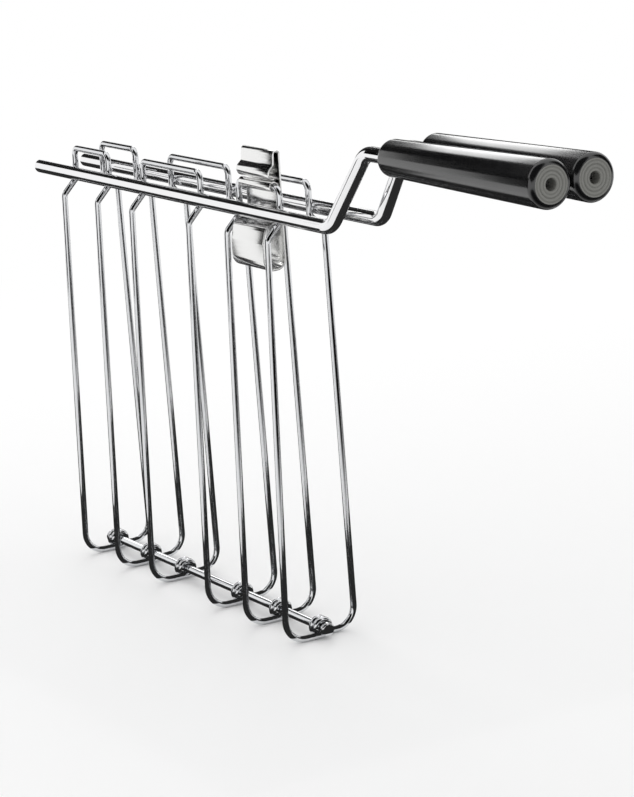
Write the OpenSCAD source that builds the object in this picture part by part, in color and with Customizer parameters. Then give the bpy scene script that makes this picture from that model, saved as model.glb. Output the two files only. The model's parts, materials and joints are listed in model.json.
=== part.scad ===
// Hinged wire rack for toasting a filled sandwich in a bread slot.
// Two mirrored wire halves turn on one rod along the floor, each half has
// a rail with a moulded grip, and a bent sheet clip hangs on the near half.
// Frame: X runs along the rails towards the grips, Y from the near half to
// the far half, Z up. The origin is under the middle of the rack, on the floor.

/* [Wire hairpins] */
// Diameter of the cage wire
wire_d = 1.8; // [1.4:0.1:2.4]
// Distance between the two legs of the rear and front hairpins
narrow_hairpin_w = 22; // [18:0.5:28]
// Distance between the two legs of the middle hairpin
wide_hairpin_w = 34.5; // [26:0.5:44]
// Distance between the legs of neighbouring hairpins
hairpin_gap = 22; // [14:0.5:32]
// Height of a hairpin's top bar over the rail, axis to axis
hairpin_rise = 7; // [6:0.25:10]
// Bend radius at the two top corners of a hairpin
hairpin_corner_r = 2.2; // [1.6:0.1:3]
// How far outside the rail axis a leg runs, just under its kink
kink_out = 1.8; // [1:0.1:3]
// Drop from the rail axis to the lower end of the kink
kink_drop = 6.7; // [6:0.1:9]
// Drop from the rail axis to the upper end of the kink
kink_start = 2; // [1.5:0.1:2.5]
// Bend radius at both ends of the kink
kink_r = 2; // [1.5:0.1:2.8]
// Lean of each leg away from the middle plane, in degrees
leg_splay = 1.1; // [0:0.1:3]
// Bend radius where a leg turns in to the hinge rod
foot_r = 6; // [3:0.5:8]
// Depth to which a leg is set into the rail by its resistance weld
weld_set = 0.2; // [0.1:0.05:0.4]

/* [Rails] */
// Diameter of the rail rod
rail_d = 4; // [3.2:0.1:5]
// Height of the rail axis over the floor
rail_h = 120; // [100:1:140]
// Distance between the two rail axes
rail_spacing = 15.6; // [14.5:0.1:22]
// Free end of the rail past the first leg
rail_tail = 18; // [12:0.5:32]
// Rail from the last leg to the corner of its first bend
rail_lead = 31.5; // [24:0.5:42]
// Rise of the cranked part of the rail
crank_rise = 20.75; // [14:0.25:30]
// Run of the cranked part of the rail along X
crank_run = 16.5; // [10:0.5:24]
// Bend radius of the crank, on the rod axis
crank_r = 6; // [4:0.5:8]

/* [Grips] */
// Gap between the two grips at their wide ends, with the rack closed
grip_gap = 0.5; // [0.4:0.1:3]
// Distance from the upper corner of the crank to the grip
grip_start = 12; // [6:0.5:18]
// Length of a grip
grip_len = 68.5; // [55:0.5:100]
// Diameter of a grip beside the crank
grip_front_d = 9.6; // [8:0.1:12]
// Diameter of a grip at its free end
grip_end_d = 12; // [11:0.1:16]
// Rounding of the free end's edge
grip_edge_r = 1.4; // [0.8:0.1:2]
// Chamfer beside the crank
grip_chamfer = 0.8; // [0.4:0.1:1.5]
// Radial clearance of the rail rod in the grip's bore
grip_bore_clear = 0.04; // [0.02:0.01:0.1]
// Depth of the rod's end below the grip's end face
rod_recess = 3.5; // [2:0.5:8]
// Mean diameter of the shallow ring in the end face
end_ring_d = 6.4; // [5.6:0.1:7.4]
// Width of the ring in the end face
end_ring_w = 0.6; // [0.4:0.1:1]
// Depth of the ring in the end face
end_ring_depth = 0.4; // [0.2:0.1:0.8]
// Diameter of the hole in the end face, narrower than the rod
end_hole_d = 3; // [2:0.1:3.4]
// Gap between the rod's end and the shoulder round that hole
rod_seat_gap = 0.1; // [0.05:0.05:0.5]

/* [Hinge] */
// Diameter of the hinge rod
hinge_rod_d = 2.4; // [2:0.1:3.2]
// Radial running clearance of an eye on the hinge rod
eye_clear = 0.05; // [0.03:0.01:0.09]
// Part of a turn that an eye goes round the rod, in degrees
eye_wrap = 265; // [220:5:270]
// Side gap between a near eye and the far eye beside it
eye_side_gap = 0.2; // [0.15:0.05:0.6]
// Length of hinge rod outside the end eyes
hinge_rod_tail = 2.5; // [2:0.5:6]
// Diameter of the upset heads that keep the rod in its eyes
hinge_head_d = 4; // [3.4:0.1:4.6]
// Thickness of an upset head
hinge_head_t = 1; // [0.6:0.1:1.6]

/* [Spring clip] */
// Thickness of the clip's spring sheet
clip_t = 0.5; // [0.4:0.05:0.7]
// Clearance at each end of the clip along the top bar that carries it
clip_end_clear = 0.3; // [0.2:0.1:1]
// Radial running clearance of the rolled barrel on the top bar
barrel_clear = 0.05; // [0.03:0.01:0.09]
// Part of a turn that the barrel goes round the bar, in degrees
barrel_wrap = 280; // [240:5:285]
// Height of the finger tab over the rail axis
clip_top = 16.5; // [15:0.5:22]
// Depth of the spring loop under the rail axis
clip_drop = 15.5; // [14:0.5:24]
// Flat at the bottom of the spring loop
loop_flat = 1; // [0.6:0.1:2]
// Drop from the rail axis to the bend where the sheet turns out below it
clip_bend_start = 1.8; // [1.4:0.1:2.2]
// Drop from the rail axis to the bend where the front leaf turns down
clip_bend_end = 4.2; // [3.8:0.1:5]
// Drop from the rail axis to the shallow fold across the front leaf
clip_fold = 8; // [7:0.1:10]
// How far the front leaf leans in above that fold
leaf_lean = 1; // [0.5:0.1:1.5]
// Radius of the bends below the rail
clip_bend_r = 1.6; // [1.2:0.1:2]
// Gap between the barrel's sheet and the inner leaf behind it
clip_leaf_gap = 0.4; // [0.3:0.1:1]
// Depth of the flat top of the finger tab
tab_flat = 1.8; // [1.7:0.1:3]
// Bend radius on both sides of the tab's flat top, and where its lip starts
tab_r = 0.8; // [0.6:0.05:0.85]
// How far the tab's front leans out above its lip
tab_lean = 0.25; // [0:0.05:0.5]
// Drop from the tab's top to the bend where its lip starts
lip_start = 3.7; // [3.4:0.1:4]
// Drop from the tab's top to the upper bend of the rolled lip
lip_top = 5.2; // [5:0.1:5.3]
// Drop from the tab's top to the underside of the rolled lip
lip_bottom = 7.5; // [7.4:0.1:7.8]
// How far the rolled lip stands out from the tab's top
lip_out = 1.85; // [1.6:0.05:2.4]
// How far the lip's edge is rolled back in
lip_return = 1.7; // [1.6:0.05:2]
// Bend radius of the rolled lip
lip_r = 1.5; // [1.2:0.1:1.6]

/* [Hidden] */
$fn = 64;

near = -1;
far = 1;
wire_r = wire_d / 2;
rail_r = rail_d / 2;

// Stations along X, counted from the first leg and then centred
leg_1 = 0;
leg_2 = leg_1 + narrow_hairpin_w;
leg_3 = leg_2 + hairpin_gap;
leg_4 = leg_3 + wide_hairpin_w;
leg_5 = leg_4 + hairpin_gap;
leg_6 = leg_5 + narrow_hairpin_w;
crank_foot = leg_6 + rail_lead;
crank_top = crank_foot + crank_run;
grip_x0 = crank_top + grip_start;
grip_x1 = grip_x0 + grip_len;
middle_x = (grip_x1 - rail_tail) / 2;

// A bend in rod or sheet is this much fuller, and straight runs lap into it
bend_swell = 0.03;
bend_lap = 0.2;

// Distances from the middle plane and heights
rail_y = rail_spacing / 2;
grip_y = (grip_end_d + grip_gap) / 2;
grip_h = rail_h + crank_rise;
bar_y = rail_y - rail_r - wire_r + weld_set;
bar_h = rail_h + hairpin_rise;
kink_y = rail_y + kink_out;
eye_r = hinge_rod_d / 2 + eye_clear + wire_r + bend_swell;
foot_h = wire_r + bend_swell;
hinge_h = foot_h + eye_r;
foot_y = kink_y + (rail_h - kink_drop - foot_h) * tan(leg_splay);
// Near eyes are set towards the grips, far eyes beside them away from the grips
stagger = wire_r + eye_side_gap / 2;
hinge_rod_end = stagger + wire_r + hinge_rod_tail;

// The clip's profile, in Y and Z
barrel_r = wire_r + barrel_clear + bend_swell + clip_t / 2;
clip_w = narrow_hairpin_w - 2 * hairpin_corner_r - 2 * clip_end_clear;
clip_x = (leg_5 + leg_6) / 2 - near * stagger;
barrel_y = barrel_r - bar_y;
front_leaf_y = -kink_y;
inner_leaf_y = barrel_y + clip_t + clip_leaf_gap;
loop_r = (inner_leaf_y - front_leaf_y - loop_flat) / 2;
tab_y = inner_leaf_y - tab_flat;
lip_y = tab_y - lip_out;
tab_h = rail_h + clip_top;

steel_colour = "gainsboro";
sheet_colour = "whitesmoke";
grip_colour = "dimgray";

// Vector helpers for the swept rods and strips
function unit(v) = v / norm(v);
function heading(path, i) = unit(path[i + 1] - path[i]);
function turn(path, i) = acos(min(1, heading(path, i - 1) * heading(path, i)));
function is_bend(path, i) = i > 0 && i < len(path) - 1;
function setback(path, radii, i) = is_bend(path, i) ? radii[i] * tan(turn(path, i) / 2) - bend_lap : 0;
function across(d) = unit(cross(abs(d.x) < 0.9 ? [1, 0, 0] : [0, 1, 0], d));
function frame_of(x, y, z, at) = [
    [x.x, y.x, z.x, at.x],
    [x.y, y.y, z.y, at.y],
    [x.z, y.z, z.z, at.z],
    [0, 0, 0, 1]
];

// One bend: turns its section about axis, from the direction start
module bend(centre, start, axis, radius, angle) {
    multmatrix(frame_of(start, cross(axis, start), axis, centre))
        rotate_extrude(angle = angle)
            translate([radius, 0]) children();
}

// A rod or strip along path, with a bend of radii[i] at each inner corner.
// The first child is the section of the straight runs, which lap into the
// bends, and the second is the slightly fuller section of the bends.
module sweep(path, radii) {
    for (i = [0 : len(path) - 2]) {
        d = heading(path, i);
        from = path[i] + d * setback(path, radii, i);
        to = path[i + 1] - d * setback(path, radii, i + 1);
        multmatrix(frame_of(across(d), cross(d, across(d)), d, from))
            linear_extrude(norm(to - from)) children(0);
    }
    for (i = [1 : len(path) - 2]) {
        d = heading(path, i - 1);
        axis = unit(cross(d, heading(path, i)));
        inward = cross(axis, d);
        from = path[i] - d * radii[i] * tan(turn(path, i) / 2);
        bend(from + inward * radii[i], -inward, axis, radii[i], turn(path, i)) children(1);
    }
}

// Round rod and flat strip, both swept along a path
module rod(path, radii, r) {
    sweep(path, radii) {
        circle(r);
        circle(r + bend_swell);
    }
}

module strip(path, radii, t, w) {
    sweep(path, radii) {
        square([t, w], center = true);
        square([t + 2 * bend_swell, w + 2 * bend_swell], center = true);
    }
}

// Rail rod with its crank and the straight end that carries the grip
module rail(side) {
    path = [
        [-rail_tail, side * rail_y, rail_h],
        [crank_foot, side * rail_y, rail_h],
        [crank_top, side * grip_y, grip_h],
        [grip_x1 - rod_recess, side * grip_y, grip_h]
    ];
    color(steel_colour)
        translate([-middle_x, 0, 0])
            rod(path, [0, crank_r, crank_r, 0], rail_r);
}

// One wire bent to a hairpin, with an eye round the hinge rod on each leg
module hairpin(side, first_leg, second_leg) {
    function leg_points(x) = [
        [x, -side * bend_lap, foot_h],
        [x, side * foot_y, foot_h],
        [x, side * kink_y, rail_h - kink_drop],
        [x, side * bar_y, rail_h - kink_start],
        [x, side * bar_y, bar_h]
    ];
    up = leg_points(first_leg);
    down = leg_points(second_leg);
    path = concat(up, [for (i = [len(down) - 1 : -1 : 0]) down[i]]);
    leg_radii = [0, foot_r, kink_r, kink_r, hairpin_corner_r];
    radii = concat(leg_radii, [for (i = [len(leg_radii) - 1 : -1 : 0]) leg_radii[i]]);
    color(steel_colour)
        translate([-side * stagger - middle_x, 0, 0]) {
            rod(path, radii, wire_r);
            for (x = [first_leg, second_leg])
                bend([x, 0, hinge_h], [0, 0, -1], [-side, 0, 0], eye_r, eye_wrap)
                    circle(wire_r + bend_swell);
        }
}

// Moulded grip, turned about the rod that runs through it
module grip(side) {
    bore_r = rail_r + grip_bore_clear;
    front_r = grip_front_d / 2;
    end_r = grip_end_d / 2;
    ring_in = (end_ring_d - end_ring_w) / 2;
    hole_r = end_hole_d / 2;
    shoulder = grip_len - rod_recess + rod_seat_gap;
    profile = [
        [bore_r, 0],
        [front_r - grip_chamfer, 0],
        [front_r, grip_chamfer],
        [end_r, grip_len - grip_edge_r],
        [end_r - grip_edge_r, grip_len - grip_edge_r],
        [end_r - grip_edge_r, grip_len],
        [ring_in + end_ring_w, grip_len],
        [ring_in + end_ring_w, grip_len - end_ring_depth],
        [ring_in, grip_len - end_ring_depth],
        [ring_in, grip_len],
        [hole_r, grip_len],
        [hole_r, shoulder],
        [bore_r, shoulder]
    ];
    color(grip_colour)
        translate([grip_x0 - middle_x, side * grip_y, grip_h])
            rotate([0, 90, 0])
                rotate_extrude() {
                    polygon(profile);
                    translate([end_r - grip_edge_r, grip_len - grip_edge_r])
                        intersection() {
                            circle(grip_edge_r);
                            square(grip_edge_r);
                        }
                }
}

// Rod that all twelve eyes turn on, with an upset head at each end
module hinge_rod() {
    rod_x0 = leg_1 - hinge_rod_end;
    rod_x1 = leg_6 + hinge_rod_end;
    color(steel_colour)
        translate([rod_x0 - middle_x, 0, hinge_h])
            rotate([0, 90, 0]) {
                cylinder(h = rod_x1 - rod_x0, d = hinge_rod_d);
                cylinder(h = hinge_head_t, d = hinge_head_d);
                translate([0, 0, rod_x1 - rod_x0 - hinge_head_t])
                    cylinder(h = hinge_head_t, d = hinge_head_d);
            }
}

// Spring sheet rolled round the front hairpin's top bar, then bent out under
// the rail to a front leaf with a shallow fold, back up behind the bar in a
// loop, and over to a finger tab whose front ends in a rolled lip
module spring_clip() {
    path = [
        [0, barrel_y, bar_h + bend_lap],
        [0, barrel_y, rail_h - clip_bend_start],
        [0, front_leaf_y + leaf_lean, rail_h - clip_bend_end],
        [0, front_leaf_y, rail_h - clip_fold],
        [0, front_leaf_y, rail_h - clip_drop],
        [0, inner_leaf_y, rail_h - clip_drop],
        [0, inner_leaf_y, tab_h],
        [0, tab_y, tab_h],
        [0, tab_y - tab_lean, tab_h - lip_start],
        [0, lip_y, tab_h - lip_top],
        [0, lip_y, tab_h - lip_bottom],
        [0, lip_y + lip_return, tab_h - lip_bottom]
    ];
    radii = [
        0, clip_bend_r, clip_bend_r, clip_bend_r, loop_r, loop_r,
        tab_r, tab_r, tab_r, lip_r, lip_r, 0
    ];
    color(sheet_colour)
        translate([clip_x - middle_x, 0, 0]) {
            strip(path, radii, clip_t, clip_w);
            bend([0, -bar_y, bar_h], [0, 1, 0], [1, 0, 0], barrel_r, barrel_wrap)
                square([clip_t + 2 * bend_swell, clip_w + 2 * bend_swell], center = true);
        }
}

module near_rail() { rail(near); }
module near_hairpin_rear() { hairpin(near, leg_1, leg_2); }
module near_hairpin_middle() { hairpin(near, leg_3, leg_4); }
module near_hairpin_front() { hairpin(near, leg_5, leg_6); }
module near_grip() { grip(near); }
module far_rail() { rail(far); }
module far_hairpin_rear() { hairpin(far, leg_1, leg_2); }
module far_hairpin_middle() { hairpin(far, leg_3, leg_4); }
module far_hairpin_front() { hairpin(far, leg_5, leg_6); }
module far_grip() { grip(far); }

near_rail();
near_hairpin_rear();
near_hairpin_middle();
near_hairpin_front();
near_grip();
far_rail();
far_hairpin_rear();
far_hairpin_middle();
far_hairpin_front();
far_grip();
hinge_rod();
spring_clip();
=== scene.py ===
"""Looks of a hinged wire toast rack: bright plated wire and rails, black grips and a bent sheet clip."""
import json
import math

import bmesh
import bpy
from mathutils import Matrix, Vector


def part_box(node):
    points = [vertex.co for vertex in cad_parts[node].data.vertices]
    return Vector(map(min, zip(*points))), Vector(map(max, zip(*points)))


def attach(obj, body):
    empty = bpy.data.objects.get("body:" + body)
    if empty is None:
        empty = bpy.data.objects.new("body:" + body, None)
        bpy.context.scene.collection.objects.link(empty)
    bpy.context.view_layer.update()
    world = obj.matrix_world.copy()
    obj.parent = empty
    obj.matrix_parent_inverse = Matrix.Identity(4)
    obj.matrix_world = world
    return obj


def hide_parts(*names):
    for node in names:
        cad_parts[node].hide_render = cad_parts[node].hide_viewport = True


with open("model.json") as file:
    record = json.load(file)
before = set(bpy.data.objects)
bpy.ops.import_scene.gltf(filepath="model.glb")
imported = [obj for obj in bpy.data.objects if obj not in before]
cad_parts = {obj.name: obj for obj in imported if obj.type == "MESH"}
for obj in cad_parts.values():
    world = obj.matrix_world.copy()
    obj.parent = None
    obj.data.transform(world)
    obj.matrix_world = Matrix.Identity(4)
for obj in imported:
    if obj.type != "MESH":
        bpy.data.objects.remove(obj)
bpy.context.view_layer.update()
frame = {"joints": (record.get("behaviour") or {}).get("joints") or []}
MM = 0.001

# Rails, in millimetres, with angles in degrees here and below
RAIL_D = 4.0
CRANK_R = 6.0
CRANK_RUN = 16.5
GRIP_START = 12.0
# The solids' bends are this much fuller than their straight runs, which shows in their boxes
BEND_SWELL = 0.03

# Hairpins: drops are below the rail's axis, and the kink steps out past it
WIRE_D = 1.8
HAIRPIN_CORNER_R = 2.2
KINK_START = 2.0
KINK_DROP = 6.7
KINK_OUT = 1.8
KINK_R = 2.0
LEG_SPLAY = 1.1
FOOT_R = 6.0
EYE_WRAP = 265.0

# Weld beads: size along X, Y and Z, swell as a share of it, lumps across it and most tilt in radians
WELD_BEAD = (2.3, 1.0, 1.9)
WELD_UNEVENNESS = 0.16
WELD_LUMPS = 2.2
WELD_TILT = 0.25
WELD_SEED = 4

# Hinge rod
HINGE_ROD_D = 2.4
HINGE_HEAD_D = 4.0
HINGE_HEAD_T = 1.0
HINGE_DOME_R = 0.6

# Clip: bends are set by their drop below the rail's axis, and the lip by its drop below the tab's top
CLIP_T = 0.5
CLIP_EDGE_R = 0.12
CLIP_BARREL_CLEAR = 0.05
CLIP_BARREL_WRAP = 280.0
CLIP_LEAF_GAP = 0.4
CLIP_LOOP_FLAT = 1.0
CLIP_BEND_START = 1.8
CLIP_BEND_END = 4.2
CLIP_FOLD = 8.0
CLIP_DROP = 15.5
CLIP_TOP = 16.5
CLIP_BEND_R = 1.6
LEAF_LEAN = 1.0
TAB_FLAT = 1.8
TAB_R = 0.8
TAB_LEAN = 0.25
LIP_START = 3.7
LIP_TOP = 5.2
LIP_BOTTOM = 7.5
LIP_OUT = 1.85
LIP_RETURN = 1.7
LIP_R = 1.5

# Grips: the rod ends short of the end face, which has a small hole, a main ring and two fine rings
GRIP_FRONT_D = 9.6
GRIP_FRONT_EDGE_R = 1.8
GRIP_EDGE_R = 1.4
GRIP_BORE_CLEAR = 0.04
ROD_RECESS = 3.5
ROD_SEAT_GAP = 0.1
END_HOLE_D = 3.0
END_HOLE_BEVEL = 0.25
END_RING_D = 6.4
END_RING_W = 0.6
END_RING_DEPTH = 0.2
FINE_RING_PITCH = 0.9
FINE_RING_W = 0.3
FINE_RING_DEPTH = 0.08

# Steps in round stretches, and the angle past which an edge stays crisp
ROD_SIDES = 32
BEND_STEPS = 14
ROLL_STEPS = 30
CLIP_BEND_STEPS = 16
CLIP_EDGE_STEPS = 3
GRIP_STEPS = 96
GRIP_EDGE_STEPS = 10
PIN_STEPS = 48
PIN_DOME_STEPS = 5
CRISP_ANGLE = math.radians(40)

# Surface patterns, in millimetres: marks, lines, grain and specks are drawn coarser than real, to show
ROD_DRAW_MARK = 1.5
WIRE_DRAW_MARK = 0.8
ROLLING_LINE = 0.5
RIPPLE_DEPTH = 0.02
MOULD_GRAIN = 0.5
GRAIN_DEPTH = 0.01
GLOSS_PATCH = 9.0
END_SPECK = 0.5
SPECK_DEPTH = 0.03
# Draw marks and rolling lines are long, so their coordinates are scaled by these along X, Y and Z
DRAW_SCALE = (0.08, 1.0, 0.25)
ROLLING_SCALE = (0.05, 1.0, 1.0)

# Finishes: sRGB colours, and the least and most roughness
ROD_TINT = "#F2F2F3"
ROD_ROUGHNESS = (0.03, 0.1)
WIRE_TINT = "#E0E1E3"
WIRE_ROUGHNESS = (0.05, 0.14)
SHEET_TINT = "#F0F0EF"
SHEET_ROUGHNESS = (0.08, 0.22)
RESIN_BLACK = "#111112"
RESIN_ROUGHNESS = (0.15, 0.21)
# The ring grey is painted shade, darkest in the end face's ring cuts
END_RING_SHADE_GREY = "#6C6C68"
END_FACE_GREY = "#7C7C78"

# Sides of Y that the two halves are on, and the hairpins from the rails' free end to the grips
NEAR = -1
FAR = 1
HALF_NAMES = {NEAR: "near", FAR: "far"}
HAIRPINS = ("rear", "middle", "front")

# Places read from the frame, in millimetres
joints = {joint["name"]: joint for joint in frame["joints"]}


def box_mm(node):
    """A node's lowest and highest corners."""
    low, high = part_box(node)
    return low / MM, high / MM


rail_r = RAIL_D / 2
wire_r = WIRE_D / 2
rail_low, rail_high = box_mm("near_rail")
grip_low, grip_high = box_mm("near_grip")
rail_h = rail_low.z + rail_r + BEND_SWELL
grip_h = rail_high.z - rail_r - BEND_SWELL
rail_y = -rail_low.y - rail_r - BEND_SWELL
grip_y = -(grip_low.y + grip_high.y) / 2
crank_top = grip_low.x - GRIP_START
crank_foot = crank_top - CRANK_RUN
hinge_h = joints["halves_hinge"]["pos_m"][2] / MM
clip_x, clip_bar_y, bar_h = (value / MM for value in joints["clip_rock"]["pos_m"])
bar_y = -clip_bar_y
foot_h = wire_r + BEND_SWELL
eye_r = hinge_h - foot_h
kink_y = rail_y + KINK_OUT
foot_y = kink_y + (rail_h - KINK_DROP - foot_h) * math.tan(math.radians(LEG_SPLAY))


# Node and colour helpers
def add_node(tree, kind, inputs=None, **settings):
    """Adds one node, with its settings, and each input set to a value or linked to a socket."""
    node = tree.nodes.new(kind)
    for name, value in settings.items():
        setattr(node, name, value)
    for socket, value in (inputs or {}).items():
        if isinstance(value, bpy.types.NodeSocket):
            tree.links.new(value, node.inputs[socket])
        else:
            node.inputs[socket].default_value = value
    return node


def linear(hex_colour):
    """An sRGB hex colour as linear RGBA."""
    channels = [int(hex_colour[i:i + 2], 16) / 255 for i in (1, 3, 5)]
    return [c / 12.92 if c <= 0.04045 else ((c + 0.055) / 1.055) ** 2.4 for c in channels] + [1.0]


def new_material(name):
    """An empty node material and its tree, ready for a shader."""
    material = bpy.data.materials.new(name)
    material.use_nodes = True
    material.node_tree.nodes.clear()
    return material, material.node_tree


# Materials
def chrome_plated_steel(name, tint, roughness, draw_mark):
    """Bright chrome on drawn steel: a mirror, a little hazed along the old draw marks."""
    material, tree = new_material(name)
    place = add_node(tree, "ShaderNodeTexCoord").outputs["Object"]
    drawn_out = add_node(tree, "ShaderNodeMapping", {"Vector": place, "Scale": DRAW_SCALE})
    marks = add_node(tree, "ShaderNodeTexNoise", {
        "Vector": drawn_out.outputs["Vector"], "Scale": 1 / (draw_mark * MM), "Detail": 3.0})
    haze = add_node(tree, "ShaderNodeMapRange", {
        "Value": marks.outputs["Fac"], "From Min": 0.3, "From Max": 0.75,
        "To Min": roughness[0], "To Max": roughness[1]})
    ripple = add_node(tree, "ShaderNodeBump", {
        "Height": marks.outputs["Fac"], "Strength": 0.06, "Distance": RIPPLE_DEPTH * MM})
    shader = add_node(tree, "ShaderNodeBsdfPrincipled", {
        "Base Color": linear(tint), "Metallic": 1.0,
        "Roughness": haze.outputs["Result"], "Normal": ripple.outputs["Normal"]})
    add_node(tree, "ShaderNodeOutputMaterial", {"Surface": shader.outputs["BSDF"]})
    return material


def polished_spring_sheet():
    """Rolled spring steel, polished: mirror bands with fine rolling lines along its bends."""
    material, tree = new_material("polished_spring_steel_sheet")
    place = add_node(tree, "ShaderNodeTexCoord").outputs["Object"]
    rolled_out = add_node(tree, "ShaderNodeMapping", {"Vector": place, "Scale": ROLLING_SCALE})
    lines = add_node(tree, "ShaderNodeTexNoise", {
        "Vector": rolled_out.outputs["Vector"], "Scale": 1 / (ROLLING_LINE * MM), "Detail": 4.0})
    haze = add_node(tree, "ShaderNodeMapRange", {
        "Value": lines.outputs["Fac"], "To Min": SHEET_ROUGHNESS[0], "To Max": SHEET_ROUGHNESS[1]})
    ripple = add_node(tree, "ShaderNodeBump", {
        "Height": lines.outputs["Fac"], "Strength": 0.08, "Distance": RIPPLE_DEPTH * MM})
    shader = add_node(tree, "ShaderNodeBsdfPrincipled", {
        "Base Color": linear(SHEET_TINT), "Metallic": 1.0,
        "Roughness": haze.outputs["Result"], "Normal": ripple.outputs["Normal"]})
    add_node(tree, "ShaderNodeOutputMaterial", {"Surface": shader.outputs["BSDF"]})
    return material


def moulded_black_plastic():
    """Moulded black resin, polished: a dark, glossy skin that the grain of the mould barely breaks."""
    material, tree = new_material("polished_moulded_black_resin")
    place = add_node(tree, "ShaderNodeTexCoord").outputs["Object"]
    grain = add_node(tree, "ShaderNodeTexNoise", {
        "Vector": place, "Scale": 1 / (MOULD_GRAIN * MM), "Detail": 2.0})
    patches = add_node(tree, "ShaderNodeTexNoise", {
        "Vector": place, "Scale": 1 / (GLOSS_PATCH * MM), "Detail": 3.0})
    gloss = add_node(tree, "ShaderNodeMapRange", {
        "Value": patches.outputs["Fac"], "From Min": 0.3, "From Max": 0.7,
        "To Min": RESIN_ROUGHNESS[0], "To Max": RESIN_ROUGHNESS[1]})
    skin = add_node(tree, "ShaderNodeBump", {
        "Height": grain.outputs["Fac"], "Strength": 0.1, "Distance": GRAIN_DEPTH * MM})
    shader = add_node(tree, "ShaderNodeBsdfPrincipled", {
        "Base Color": linear(RESIN_BLACK), "IOR": 1.62, "Roughness": gloss.outputs["Result"],
        "Normal": skin.outputs["Normal"], "Coat Weight": 0.6, "Coat Roughness": 0.12})
    add_node(tree, "ShaderNodeOutputMaterial", {"Surface": shader.outputs["BSDF"]})
    return material


def ring_shaded_end_plastic():
    """The same resin left matt on the end face: grey, with painted shade darkening it in rings that lie on
    the ring cuts, varied by random specks.
    """
    material, tree = new_material("matt_moulded_resin_end")
    place = add_node(tree, "ShaderNodeTexCoord").outputs["Object"]
    folded = add_node(tree, "ShaderNodeVectorMath", {0: place}, operation="ABSOLUTE")
    centred = add_node(tree, "ShaderNodeVectorMath", {
        0: folded.outputs["Vector"], 1: (0.0, grip_y * MM, grip_h * MM)}, operation="SUBTRACT")
    across = add_node(tree, "ShaderNodeVectorMath", {
        0: centred.outputs["Vector"], 1: (0.0, 1.0, 1.0)}, operation="MULTIPLY")
    reach = add_node(tree, "ShaderNodeVectorMath", {0: across.outputs["Vector"]}, operation="LENGTH")
    from_ring = add_node(tree, "ShaderNodeMath", {
        0: reach.outputs["Value"], 1: END_RING_D / 2 * MM}, operation="SUBTRACT")
    turns = add_node(tree, "ShaderNodeMath", {
        0: from_ring.outputs["Value"], 1: 2 * math.pi / (FINE_RING_PITCH * MM)}, operation="MULTIPLY")
    rings = add_node(tree, "ShaderNodeMath", {0: turns.outputs["Value"]}, operation="COSINE")
    speck = add_node(tree, "ShaderNodeTexNoise", {
        "Vector": place, "Scale": 1 / (END_SPECK * MM), "Detail": 2.0})
    # Painted shade: darker rings on the ring cuts, made stronger or weaker by the random specks
    ring_shade = add_node(tree, "ShaderNodeMath", {
        0: rings.outputs["Value"], 1: speck.outputs["Fac"]}, operation="MULTIPLY")
    tone = add_node(tree, "ShaderNodeMapRange", {
        "Value": ring_shade.outputs["Value"], "From Min": 0.6, "From Max": -0.6})
    colour = add_node(tree, "ShaderNodeMix", {
        "Factor": tone.outputs["Result"], "A": linear(END_RING_SHADE_GREY), "B": linear(END_FACE_GREY)},
        data_type="RGBA")
    pits = add_node(tree, "ShaderNodeBump", {
        "Height": speck.outputs["Fac"], "Strength": 0.3, "Distance": SPECK_DEPTH * MM})
    shader = add_node(tree, "ShaderNodeBsdfPrincipled", {
        "Base Color": colour.outputs["Result"], "Roughness": 0.55, "Normal": pits.outputs["Normal"]})
    add_node(tree, "ShaderNodeOutputMaterial", {"Surface": shader.outputs["BSDF"]})
    return material


rail_chrome = chrome_plated_steel("chrome_plated_drawn_rod", ROD_TINT, ROD_ROUGHNESS, ROD_DRAW_MARK)
wire_chrome = chrome_plated_steel("chrome_plated_drawn_wire", WIRE_TINT, WIRE_ROUGHNESS, WIRE_DRAW_MARK)
spring_sheet = polished_spring_sheet()
grip_plastic = moulded_black_plastic()
grip_end_plastic = ring_shaded_end_plastic()


# Geometry Nodes trees
def new_geometry_tree(name, sockets):
    """A Geometry Nodes tree with one geometry in, one out and the named inputs."""
    tree = bpy.data.node_groups.new(name, "GeometryNodeTree")
    tree.interface.new_socket("Geometry", in_out="INPUT", socket_type="NodeSocketGeometry")
    for socket, kind in sockets.items():
        tree.interface.new_socket(socket, in_out="INPUT", socket_type=kind)
    tree.interface.new_socket("Geometry", in_out="OUTPUT", socket_type="NodeSocketGeometry")
    return tree, add_node(tree, "NodeGroupInput").outputs


def finish_tree(tree, geometry, material):
    """Keeps sharp edges crisp, makes instances real, sets the material and closes the tree."""
    angle = add_node(tree, "GeometryNodeInputMeshEdgeAngle")
    crisp = add_node(tree, "FunctionNodeCompare", {
        0: angle.outputs["Unsigned Angle"], 1: CRISP_ANGLE}, operation="GREATER_THAN")
    smooth = add_node(tree, "GeometryNodeSetShadeSmooth", {
        "Geometry": geometry, "Shade Smooth": True}, domain="FACE")
    edged = add_node(tree, "GeometryNodeSetShadeSmooth", {
        "Geometry": smooth.outputs["Geometry"], "Selection": crisp.outputs["Result"],
        "Shade Smooth": False}, domain="EDGE")
    real = add_node(tree, "GeometryNodeRealizeInstances", {"Geometry": edged.outputs["Geometry"]})
    dressed = add_node(tree, "GeometryNodeSetMaterial", {
        "Geometry": real.outputs["Geometry"], "Material": material})
    add_node(tree, "NodeGroupOutput", {"Geometry": dressed.outputs["Geometry"]})


def bent_path(tree, inputs):
    """The corner points of a path, each bent to the radius kept in the point's own radius."""
    bends = add_node(tree, "GeometryNodeFilletCurve", {
        "Curve": inputs["Geometry"], "Count": inputs["Bend steps"],
        "Radius": add_node(tree, "GeometryNodeInputRadius").outputs["Radius"]}, mode="POLY")
    return add_node(tree, "GeometryNodeSetCurveRadius", {
        "Curve": bends.outputs["Curve"], "Radius": 1.0}).outputs["Curve"]


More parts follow.
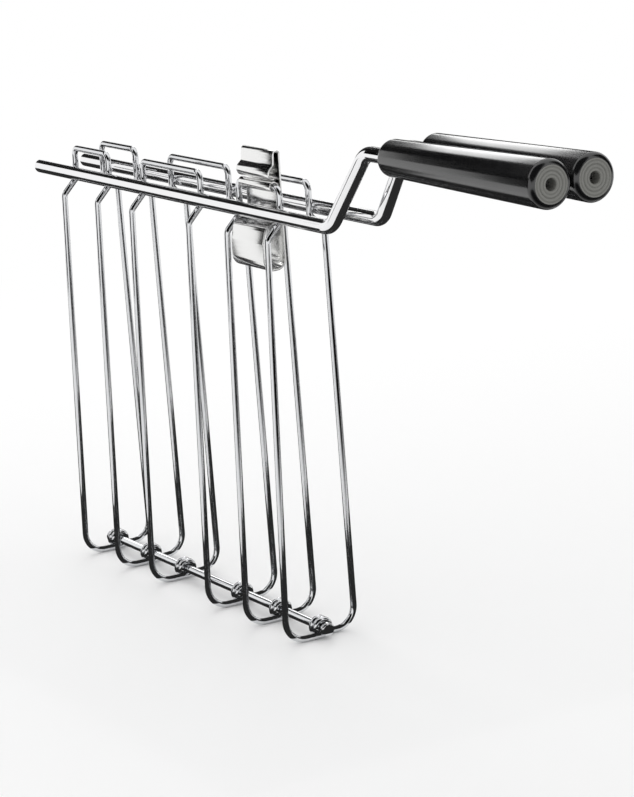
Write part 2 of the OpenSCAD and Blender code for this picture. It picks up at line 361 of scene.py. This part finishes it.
def bent_rod_tree():
    """A round rod along a bent path."""
    tree, inputs = new_geometry_tree("bent_rod", {
        "Rod radius": "NodeSocketFloat", "Sides": "NodeSocketInt", "Bend steps": "NodeSocketInt",
        "Material": "NodeSocketMaterial"})
    section = add_node(tree, "GeometryNodeCurvePrimitiveCircle", {
        "Resolution": inputs["Sides"], "Radius": inputs["Rod radius"]})
    rod = add_node(tree, "GeometryNodeCurveToMesh", {
        "Curve": bent_path(tree, inputs), "Profile Curve": section.outputs["Curve"], "Fill Caps": True})
    finish_tree(tree, rod.outputs["Mesh"], inputs["Material"])
    return tree


def bent_strip_tree():
    """A flat strip with rounded edges along a bent path."""
    tree, inputs = new_geometry_tree("bent_strip", {
        "Thickness": "NodeSocketFloat", "Width": "NodeSocketFloat", "Edge radius": "NodeSocketFloat",
        "Bend steps": "NodeSocketInt", "Material": "NodeSocketMaterial"})
    outline = add_node(tree, "GeometryNodeCurvePrimitiveQuadrilateral", {
        "Width": inputs["Width"], "Height": inputs["Thickness"]})
    section = add_node(tree, "GeometryNodeFilletCurve", {
        "Curve": outline.outputs["Curve"], "Count": CLIP_EDGE_STEPS, "Radius": inputs["Edge radius"]},
        mode="POLY")
    strip = add_node(tree, "GeometryNodeCurveToMesh", {
        "Curve": bent_path(tree, inputs), "Profile Curve": section.outputs["Curve"], "Fill Caps": True})
    finish_tree(tree, strip.outputs["Mesh"], inputs["Material"])
    return tree


def weld_bead_tree():
    """A small uneven bead of weld at each point, made one unit across and then scaled to its size."""
    tree, inputs = new_geometry_tree("weld_beads", {
        "Bead size": "NodeSocketVector", "Unevenness": "NodeSocketFloat", "Seed": "NodeSocketInt",
        "Material": "NodeSocketMaterial"})
    bead = add_node(tree, "GeometryNodeMeshIcoSphere", {"Radius": 0.5, "Subdivisions": 3})
    lump = add_node(tree, "ShaderNodeTexNoise", {"Scale": WELD_LUMPS, "Detail": 1.0})
    outward = add_node(tree, "ShaderNodeVectorMath", {
        0: add_node(tree, "GeometryNodeInputNormal").outputs["Normal"], "Scale": lump.outputs["Fac"]},
        operation="SCALE")
    swell = add_node(tree, "ShaderNodeVectorMath", {
        0: outward.outputs["Vector"], "Scale": inputs["Unevenness"]}, operation="SCALE")
    lumpy = add_node(tree, "GeometryNodeSetPosition", {
        "Geometry": bead.outputs["Mesh"], "Offset": swell.outputs["Vector"]})
    tilt = add_node(tree, "FunctionNodeRandomValue", {
        0: [-WELD_TILT] * 3, 1: [WELD_TILT] * 3, "Seed": inputs["Seed"]}, data_type="FLOAT_VECTOR")
    beads = add_node(tree, "GeometryNodeInstanceOnPoints", {
        "Points": inputs["Geometry"], "Instance": lumpy.outputs["Geometry"],
        "Rotation": tilt.outputs["Value"], "Scale": inputs["Bead size"]})
    finish_tree(tree, beads.outputs["Instances"], inputs["Material"])
    return tree


def grown(name, source_data, tree, values):
    """The plain mesh object that a tree makes from a curve or a mesh of points."""
    source = bpy.data.objects.new(name + "_path", source_data)
    bpy.context.scene.collection.objects.link(source)
    modifier = source.modifiers.new("grow", "NODES")
    modifier.node_group = tree
    for item in tree.interface.items_tree:
        if item.name in values:
            modifier[item.identifier] = values[item.name]
    depsgraph = bpy.context.evaluated_depsgraph_get()
    mesh = bpy.data.meshes.new_from_object(source.evaluated_get(depsgraph), depsgraph=depsgraph)
    for i in reversed(range(len(mesh.materials))):
        if mesh.materials[i] is None:
            mesh.materials.pop(index=i)
    source.modifiers.remove(modifier)
    bpy.data.objects.remove(source)
    piece = bpy.data.objects.new(name, mesh)
    mesh.name = name
    bpy.context.scene.collection.objects.link(piece)
    return piece


def path_curve(name, corners):
    """A curve through corners, given as (point in millimetres, bend radius in millimetres)."""
    curve = bpy.data.curves.new(name, "CURVE")
    curve.dimensions = "3D"
    spline = curve.splines.new("POLY")
    spline.points.add(len(corners) - 1)
    for target, (point, bend_r) in zip(spline.points, corners):
        target.co = (*(Vector(point) * MM), 1.0)
        target.radius = bend_r * MM
    return curve


def place_piece(piece, node, body):
    """Puts a finished piece on its body in place of its solid."""
    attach(piece, body)
    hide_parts(node)


rod_tree = bent_rod_tree()
strip_tree = bent_strip_tree()
bead_tree = weld_bead_tree()


# Rails and hairpins
def rail(side):
    """A half's rail: straight along the hairpins, cranked up and in, then straight inside the grip."""
    name = HALF_NAMES[side]
    corners = [
        ((rail_low.x, side * rail_y, rail_h), 0),
        ((crank_foot, side * rail_y, rail_h), CRANK_R),
        ((crank_top, side * grip_y, grip_h), CRANK_R),
        ((rail_high.x, side * grip_y, grip_h), 0),
    ]
    piece = grown(f"{name}_rail_rod", path_curve("rail", corners), rod_tree, {
        "Rod radius": rail_r * MM, "Sides": ROD_SIDES, "Bend steps": BEND_STEPS, "Material": rail_chrome})
    place_piece(piece, f"{name}_rail", f"{name}_half")


def leg_corners(side, x):
    """One leg of a hairpin, from the tip of its eye on the hinge rod up to its top corner."""
    eye = []
    for i in range(ROLL_STEPS, 0, -1):
        turn = math.radians(EYE_WRAP * i / ROLL_STEPS)
        eye.append(((x, -side * eye_r * math.sin(turn), hinge_h - eye_r * math.cos(turn)), 0))
    return eye + [
        ((x, 0, foot_h), 0),
        ((x, side * foot_y, foot_h), FOOT_R),
        ((x, side * kink_y, rail_h - KINK_DROP), KINK_R),
        ((x, side * bar_y, rail_h - KINK_START), KINK_R),
        ((x, side * bar_y, bar_h), HAIRPIN_CORNER_R),
    ]


def leg_stations(node):
    """The places along X of a hairpin's two legs."""
    low, high = box_mm(node)
    return low.x + wire_r + BEND_SWELL, high.x - wire_r - BEND_SWELL


def hairpin(side, which):
    """One wire bent to a hairpin: up one leg, along the top bar and down the other."""
    name = HALF_NAMES[side]
    node = f"{name}_hairpin_{which}"
    first, second = leg_stations(node)
    corners = leg_corners(side, first) + leg_corners(side, second)[::-1]
    piece = grown(f"{node}_wire", path_curve("hairpin", corners), rod_tree, {
        "Rod radius": wire_r * MM, "Sides": ROD_SIDES, "Bend steps": BEND_STEPS, "Material": wire_chrome})
    place_piece(piece, node, f"{name}_half")


def welds(side):
    """Beads where each leg is welded to the inner side of the rail."""
    name = HALF_NAMES[side]
    seam_y = side * (rail_y - rail_r)
    points = [(x * MM, seam_y * MM, rail_h * MM)
              for which in HAIRPINS for x in leg_stations(f"{name}_hairpin_{which}")]
    mesh = bpy.data.meshes.new("weld_points")
    mesh.from_pydata(points, [], [])
    piece = grown(f"{name}_weld_beads", mesh, bead_tree, {
        "Bead size": [size * MM for size in WELD_BEAD], "Unevenness": WELD_UNEVENNESS,
        "Seed": WELD_SEED + side, "Material": wire_chrome})
    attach(piece, f"{name}_half")


# Turned pieces
def turned(name, profile, steps):
    """A closed body turned about the X axis from (along, radius) points: a ring, or from axis to axis."""
    shape = bmesh.new()
    verts = [shape.verts.new((along * MM, 0, radius * MM)) for along, radius in profile]
    on_axis = profile[0][1] == 0
    loop = verts if on_axis else verts + verts[:1]
    edges = [shape.edges.new(pair) for pair in zip(loop, loop[1:])]
    bmesh.ops.spin(shape, geom=verts + edges, cent=(0, 0, 0), axis=(1, 0, 0), angle=2 * math.pi,
                   steps=steps, use_merge=True)
    bmesh.ops.remove_doubles(shape, verts=shape.verts, dist=1e-6)
    bmesh.ops.recalc_face_normals(shape, faces=shape.faces)
    mesh = bpy.data.meshes.new(name)
    shape.to_mesh(mesh)
    shape.free()
    piece = bpy.data.objects.new(name, mesh)
    bpy.context.scene.collection.objects.link(piece)
    mesh.shade_smooth()
    mesh.set_sharp_from_angle(angle=CRISP_ANGLE)
    return piece


def arc(centre, radius, start, end, steps):
    """Points of an arc in (along, radius), with angles in degrees."""
    angles = [math.radians(start + (end - start) * i / steps) for i in range(steps + 1)]
    return [(centre[0] + radius * math.cos(a), centre[1] + radius * math.sin(a)) for a in angles]


def start_edge(radius, edge_r, steps):
    """The rounded edge at a turned body's start, from its face out to its side."""
    return arc((edge_r, radius - edge_r), edge_r, 180, 90, steps)


def end_edge(length, radius, edge_r, steps):
    """The rounded edge at a turned body's end, from its side in to its face."""
    return arc((length - edge_r, radius - edge_r), edge_r, 90, 0, steps)


def ring_cut(along, radius, width, depth):
    """Points of a V-shaped ring cut into an end face, from its outer edge in."""
    return [(along, radius + width / 2), (along - depth, radius), (along, radius - width / 2)]


def grip(side):
    """A tapered grip with a blind bore for the rod, and rings and a small hole in its end face."""
    name = HALF_NAMES[side]
    length = grip_high.x - grip_low.x
    end_r = (grip_high.z - grip_low.z) / 2
    bore_r = rail_r + GRIP_BORE_CLEAR
    ring_r = END_RING_D / 2
    hole_r = END_HOLE_D / 2
    shoulder = length - ROD_RECESS + ROD_SEAT_GAP
    profile = [(0, bore_r)]
    profile += start_edge(GRIP_FRONT_D / 2, GRIP_FRONT_EDGE_R, GRIP_EDGE_STEPS)
    profile += end_edge(length, end_r, GRIP_EDGE_R, GRIP_EDGE_STEPS)
    profile += ring_cut(length, ring_r + FINE_RING_PITCH, FINE_RING_W, FINE_RING_DEPTH)
    profile += ring_cut(length, ring_r, END_RING_W, END_RING_DEPTH)
    profile += ring_cut(length, ring_r - FINE_RING_PITCH, FINE_RING_W, FINE_RING_DEPTH)
    profile += [(length, hole_r + END_HOLE_BEVEL), (length - END_HOLE_BEVEL, hole_r)]
    profile += [(shoulder, hole_r), (shoulder, bore_r)]
    piece = turned(f"{name}_grip_sleeve", profile, GRIP_STEPS)
    piece.data.transform(Matrix.Translation(Vector((grip_low.x, side * grip_y, grip_h)) * MM))
    piece.data.materials.append(grip_plastic)
    piece.data.materials.append(grip_end_plastic)
    end_x = (grip_high.x - END_HOLE_BEVEL) * MM
    flat_r = (end_r - GRIP_EDGE_R) * MM
    for face in piece.data.polygons:
        reach = math.hypot(face.center.y - side * grip_y * MM, face.center.z - grip_h * MM)
        on_end = face.center.x > end_x and reach < flat_r
        in_hole = face.center.x > (grip_low.x + shoulder) * MM and reach <= hole_r * MM
        face.material_index = 1 if on_end or in_hole else 0
    place_piece(piece, f"{name}_grip", f"{name}_half")


def hinge_rod():
    """The rod that all the eyes turn on, with an upset and rounded head at each end."""
    low, high = box_mm("hinge_rod")
    rod_r = HINGE_ROD_D / 2
    head_r = HINGE_HEAD_D / 2
    length = high.x - low.x
    far_head = length - HINGE_HEAD_T
    profile = [(0, 0)] + start_edge(head_r, HINGE_DOME_R, PIN_DOME_STEPS)
    profile += [(HINGE_HEAD_T, head_r), (HINGE_HEAD_T, rod_r), (far_head, rod_r), (far_head, head_r)]
    profile += end_edge(length, head_r, HINGE_DOME_R, PIN_DOME_STEPS) + [(length, 0)]
    piece = turned("hinge_rod_pin", profile, PIN_STEPS)
    piece.data.transform(Matrix.Translation(Vector((low.x, 0, hinge_h)) * MM))
    piece.data.materials.append(wire_chrome)
    place_piece(piece, "hinge_rod", "near_half")


# Clip
def spring_clip():
    """One bent sheet: barrel on the top bar, outer leaf, loop below the rail, inner leaf, tab and lip."""
    low, high = box_mm("spring_clip")
    barrel_r = wire_r + CLIP_BARREL_CLEAR + BEND_SWELL + CLIP_T / 2
    barrel_y = barrel_r - bar_y
    leaf_y = barrel_y + CLIP_T + CLIP_LEAF_GAP
    loop_r = (leaf_y + kink_y - CLIP_LOOP_FLAT) / 2
    tab_y = leaf_y - TAB_FLAT
    tab_h = rail_h + CLIP_TOP
    lip_y = tab_y - LIP_OUT
    barrel = []
    for i in range(ROLL_STEPS, 0, -1):
        turn = math.radians(CLIP_BARREL_WRAP * i / ROLL_STEPS)
        barrel.append(((clip_x, barrel_r * math.cos(turn) - bar_y, bar_h + barrel_r * math.sin(turn)), 0))
    corners = barrel + [
        ((clip_x, barrel_y, bar_h), 0),
        ((clip_x, barrel_y, rail_h - CLIP_BEND_START), CLIP_BEND_R),
        ((clip_x, LEAF_LEAN - kink_y, rail_h - CLIP_BEND_END), CLIP_BEND_R),
        ((clip_x, -kink_y, rail_h - CLIP_FOLD), CLIP_BEND_R),
        ((clip_x, -kink_y, rail_h - CLIP_DROP), loop_r),
        ((clip_x, leaf_y, rail_h - CLIP_DROP), loop_r),
        ((clip_x, leaf_y, tab_h), TAB_R),
        ((clip_x, tab_y, tab_h), TAB_R),
        ((clip_x, tab_y - TAB_LEAN, tab_h - LIP_START), TAB_R),
        ((clip_x, lip_y, tab_h - LIP_TOP), LIP_R),
        ((clip_x, lip_y, tab_h - LIP_BOTTOM), LIP_R),
        ((clip_x, lip_y + LIP_RETURN, tab_h - LIP_BOTTOM), 0),
    ]
    width = high.x - low.x - 2 * BEND_SWELL
    piece = grown("clip_sheet", path_curve("clip", corners), strip_tree, {
        "Thickness": CLIP_T * MM, "Width": width * MM, "Edge radius": CLIP_EDGE_R * MM,
        "Bend steps": CLIP_BEND_STEPS, "Material": spring_sheet})
    place_piece(piece, "spring_clip", "clip")


for half in (NEAR, FAR):
    rail(half)
    for position in HAIRPINS:
        hairpin(half, position)
    welds(half)
    grip(half)
hinge_rod()
spring_clip()

# Stage, in metres
FLOOR_REACH = 5.0
FLOOR_FADE = (0.15, 0.6)
PAPER = "#F8F8F8"
WHITE = "#FFFFFF"
STUDIO_LIGHT = 0.96
SOFT_BOX_AT = Vector((-0.95, 0.42, 0.72))
SOFT_BOX_AIM = Vector((0.05, 0.0, 0.13))
SOFT_BOX_SIZE = (0.7, 0.55)
SOFT_BOX_POWER = 2.6

# The camera stands where the photograph was taken from, with its slight roll
CAMERA_AT = Vector((0.6787, -0.3907, 0.2448))
CAMERA_AIM = Vector((0.0057, 0.0035, 0.0675))
CAMERA_ROLL = math.radians(-3.5)
CAMERA_LENS = 88.0
SENSOR_H = 24.0

# Cards that show only in reflections
CARD_BLACK = "#0A0A0A"
CAMERA_CARD_BLACK = "#141414"
RAIL_CARD_GREY = "#1E1E1E"
LOW_CARD_GREY = "#2C2C2C"
# The wall past the rails' free end: the rails mirror its middle, and the grips a ring round that
WALL_X = -0.35
WALL_MIDDLE_Z = 0.13
WALL_STEP = 8
# Cards just above the floor, and the fold where the two cards over the camera meet
PATCH_H = 0.001
PATCH_FADE = 0.45
LOW_CARD_H = 0.002
LOW_CARD_OUTLINE = [
    (-0.7, -0.18), (-0.3, -0.18), (-0.24, -0.16), (-0.17, -0.08), (0.1, -0.08),
    (0.1, 0.08), (0.03, 0.17), (-0.12, 0.27), (-0.3, 0.33), (-0.7, 0.5),
]
CAMERA_CARD_FOLD = [(0.86, -0.76, 0.28), (0.1, -0.27, 1.28)]


def stage_object(name, corners, material):
    """One flat face of the stage, which isn't part of the rack."""
    mesh = bpy.data.meshes.new(name)
    mesh.from_pydata(corners, [], [range(len(corners))])
    mesh.materials.append(material)
    piece = bpy.data.objects.new(name, mesh)
    bpy.context.scene.collection.objects.link(piece)
    return piece


def level_rectangle(centre, reach, height):
    """Corners of a level rectangle, by its reach from its centre along X and Y."""
    left, right = centre[0] - reach[0], centre[0] + reach[0]
    front, back = centre[1] - reach[1], centre[1] + reach[1]
    return [(left, front, height), (right, front, height), (right, back, height), (left, back, height)]


def mirrored_only(piece):
    """Leaves a card to be seen in reflections and nowhere else."""
    piece.visible_camera = False
    piece.visible_diffuse = False
    piece.visible_shadow = False


def dark_card(name, corners, colour):
    """A dark card for the bright metal to mirror."""
    material, tree = new_material(name)
    shader = add_node(tree, "ShaderNodeEmission", {"Color": linear(colour), "Strength": 1.0})
    add_node(tree, "ShaderNodeOutputMaterial", {"Surface": shader.outputs["Emission"]})
    mirrored_only(stage_object(name, corners, material))


def standing_card(name, foot, heights):
    """An upright black card between two points of the floor and two heights."""
    low, high = heights
    corners = [(*foot[0], low), (*foot[1], low), (*foot[1], high), (*foot[0], high)]
    dark_card(name, corners, CARD_BLACK)


def wall_point(angle, reach):
    """A point of the wall, by its angle in degrees from the near side up and its reach from the middle."""
    turn = math.radians(angle)
    return (WALL_X, -reach * math.cos(turn), WALL_MIDDLE_Z + reach * math.sin(turn))


def wall_card(name, reach, angles, colour):
    """A dark card on the wall between two reaches and two angles."""
    steps = math.ceil((angles[1] - angles[0]) / WALL_STEP)
    turns = [angles[0] + (angles[1] - angles[0]) * i / steps for i in range(steps + 1)]
    outer = [wall_point(turn, reach[1]) for turn in turns]
    inner = [wall_point(turn, reach[0]) for turn in reversed(turns)]
    dark_card(name, outer + inner, colour)


def shaded_patch(name, centre, reach):
    """A round patch on the floor for the wires to mirror, black in the middle and fading to its edge."""
    material, tree = new_material(name)
    place = add_node(tree, "ShaderNodeTexCoord").outputs["Object"]
    centred = add_node(tree, "ShaderNodeMapping", {
        "Vector": place, "Location": (*centre, 0.0), "Scale": (*reach, 1.0)}, vector_type="TEXTURE")
    middle = add_node(tree, "ShaderNodeTexGradient", {
        "Vector": centred.outputs["Vector"]}, gradient_type="SPHERICAL")
    depth = add_node(tree, "ShaderNodeMapRange", {
        "Value": middle.outputs["Fac"], "From Max": PATCH_FADE}, interpolation_type="SMOOTHSTEP")
    clear = add_node(tree, "ShaderNodeBsdfTransparent")
    dark = add_node(tree, "ShaderNodeEmission", {"Color": linear(CARD_BLACK), "Strength": 1.0})
    faded = add_node(tree, "ShaderNodeMixShader", {
        0: depth.outputs["Result"], 1: clear.outputs["BSDF"], 2: dark.outputs["Emission"]})
    add_node(tree, "ShaderNodeOutputMaterial", {"Surface": faded.outputs["Shader"]})
    mirrored_only(stage_object(name, level_rectangle(centre, reach, PATCH_H), material))


def seen_or_mirrored(tree):
    """One for rays from the camera and in reflections, and nought for light."""
    ray = add_node(tree, "ShaderNodeLightPath").outputs
    mirrored = add_node(tree, "ShaderNodeMath", {
        0: ray["Is Glossy Ray"], 1: ray["Is Transmission Ray"]}, operation="MAXIMUM")
    seen = add_node(tree, "ShaderNodeMath", {
        0: ray["Is Camera Ray"], 1: mirrored.outputs["Value"]}, operation="MAXIMUM")
    return seen.outputs["Value"]


def floor():
    """Pale paper that keeps the rack's shadow and runs out to white away from it."""
    material, tree = new_material("pale_paper_sweep")
    paper = add_node(tree, "ShaderNodeBsdfPrincipled", {"Base Color": linear(PAPER), "Roughness": 0.8})
    white = add_node(tree, "ShaderNodeEmission", {"Color": linear(WHITE), "Strength": 1.0})
    place = add_node(tree, "ShaderNodeTexCoord").outputs["Object"]
    away = add_node(tree, "ShaderNodeVectorMath", {0: place}, operation="LENGTH")
    fade = add_node(tree, "ShaderNodeMapRange", {
        "Value": away.outputs["Value"], "From Min": FLOOR_FADE[0], "From Max": FLOOR_FADE[1]},
        interpolation_type="SMOOTHSTEP")
    faded = add_node(tree, "ShaderNodeMath", {
        0: fade.outputs["Result"], 1: seen_or_mirrored(tree)}, operation="MULTIPLY")
    surface = add_node(tree, "ShaderNodeMixShader", {
        0: faded.outputs["Value"], 1: paper.outputs["BSDF"], 2: white.outputs["Emission"]})
    add_node(tree, "ShaderNodeOutputMaterial", {"Surface": surface.outputs["Shader"]})
    stage_object("floor", level_rectangle((0, 0), (FLOOR_REACH, FLOOR_REACH), 0), material)


def studio_world():
    """White to the camera and in reflections, and a little dimmer as a light."""
    world = bpy.data.worlds.new("white_studio")
    world.use_nodes = True
    tree = world.node_tree
    tree.nodes.clear()
    strength = add_node(tree, "ShaderNodeMapRange", {
        "Value": seen_or_mirrored(tree), "To Min": STUDIO_LIGHT, "To Max": 1.0})
    sky = add_node(tree, "ShaderNodeBackground", {
        "Color": linear(WHITE), "Strength": strength.outputs["Result"]})
    add_node(tree, "ShaderNodeOutputWorld", {"Surface": sky.outputs["Background"]})
    bpy.context.scene.world = world


def soft_box():
    """One soft lamp above and behind the rack, as the camera sees it."""
    data = bpy.data.lights.new("back_softbox", "AREA")
    data.shape = "RECTANGLE"
    data.size, data.size_y = SOFT_BOX_SIZE
    data.energy = SOFT_BOX_POWER
    lamp = bpy.data.objects.new("back_softbox", data)
    lamp.location = SOFT_BOX_AT
    lamp.rotation_euler = (SOFT_BOX_AIM - SOFT_BOX_AT).to_track_quat("-Z", "Y").to_euler()
    bpy.context.scene.collection.objects.link(lamp)


def camera():
    """The scene's camera, aimed and then rolled about its own axis."""
    data = bpy.data.cameras.new("camera")
    data.sensor_fit = "VERTICAL"
    data.sensor_height = SENSOR_H
    data.lens = CAMERA_LENS
    eye = bpy.data.objects.new("camera", data)
    aim = (CAMERA_AIM - CAMERA_AT).to_track_quat("-Z", "Y").to_matrix().to_4x4()
    eye.matrix_world = Matrix.Translation(CAMERA_AT) @ aim @ Matrix.Rotation(CAMERA_ROLL, 4, "Z")
    bpy.context.scene.collection.objects.link(eye)
    bpy.context.scene.camera = eye


floor()
studio_world()
soft_box()
wall_card("rail_flag", reach=(0.03, 0.28), angles=(52, 145), colour=RAIL_CARD_GREY)
wall_card("grip_flag", reach=(0.25, 0.48), angles=(12, 90), colour=CARD_BLACK)
wall_card("grip_end_flag", reach=(0.38, 0.52), angles=(86, 157), colour=CARD_BLACK)
wall_card("grip_top_flag", reach=(0.25, 0.48), angles=(157, 205), colour=CARD_BLACK)
dark_card("low_flag", [(x, y, LOW_CARD_H) for x, y in LOW_CARD_OUTLINE], LOW_CARD_GREY)
shaded_patch("wire_shade_front", centre=(0.44, -0.02), reach=(0.38, 0.46))
shaded_patch("wire_shade_back", centre=(0.14, 0.28), reach=(0.18, 0.18))
standing_card("right_flag", foot=((0.55, 0.35), (0.2, 0.75)), heights=(0.07, 0.6))
standing_card("left_flag", foot=((-0.05, -0.6), (-0.5, -0.45)), heights=(0.0, 0.4))
dark_card("camera_flag_right", [(1.08, 0.41, 0.12), (0.75, 0.29, 0.96), *reversed(CAMERA_CARD_FOLD)],
          CAMERA_CARD_BLACK)
dark_card("camera_flag_left", [*CAMERA_CARD_FOLD, (-0.26, -0.56, 1.16), (-0.05, -1.09, 0.62)],
          CAMERA_CARD_BLACK)
camera()
bpy.context.scene.view_settings.view_transform = "Standard"
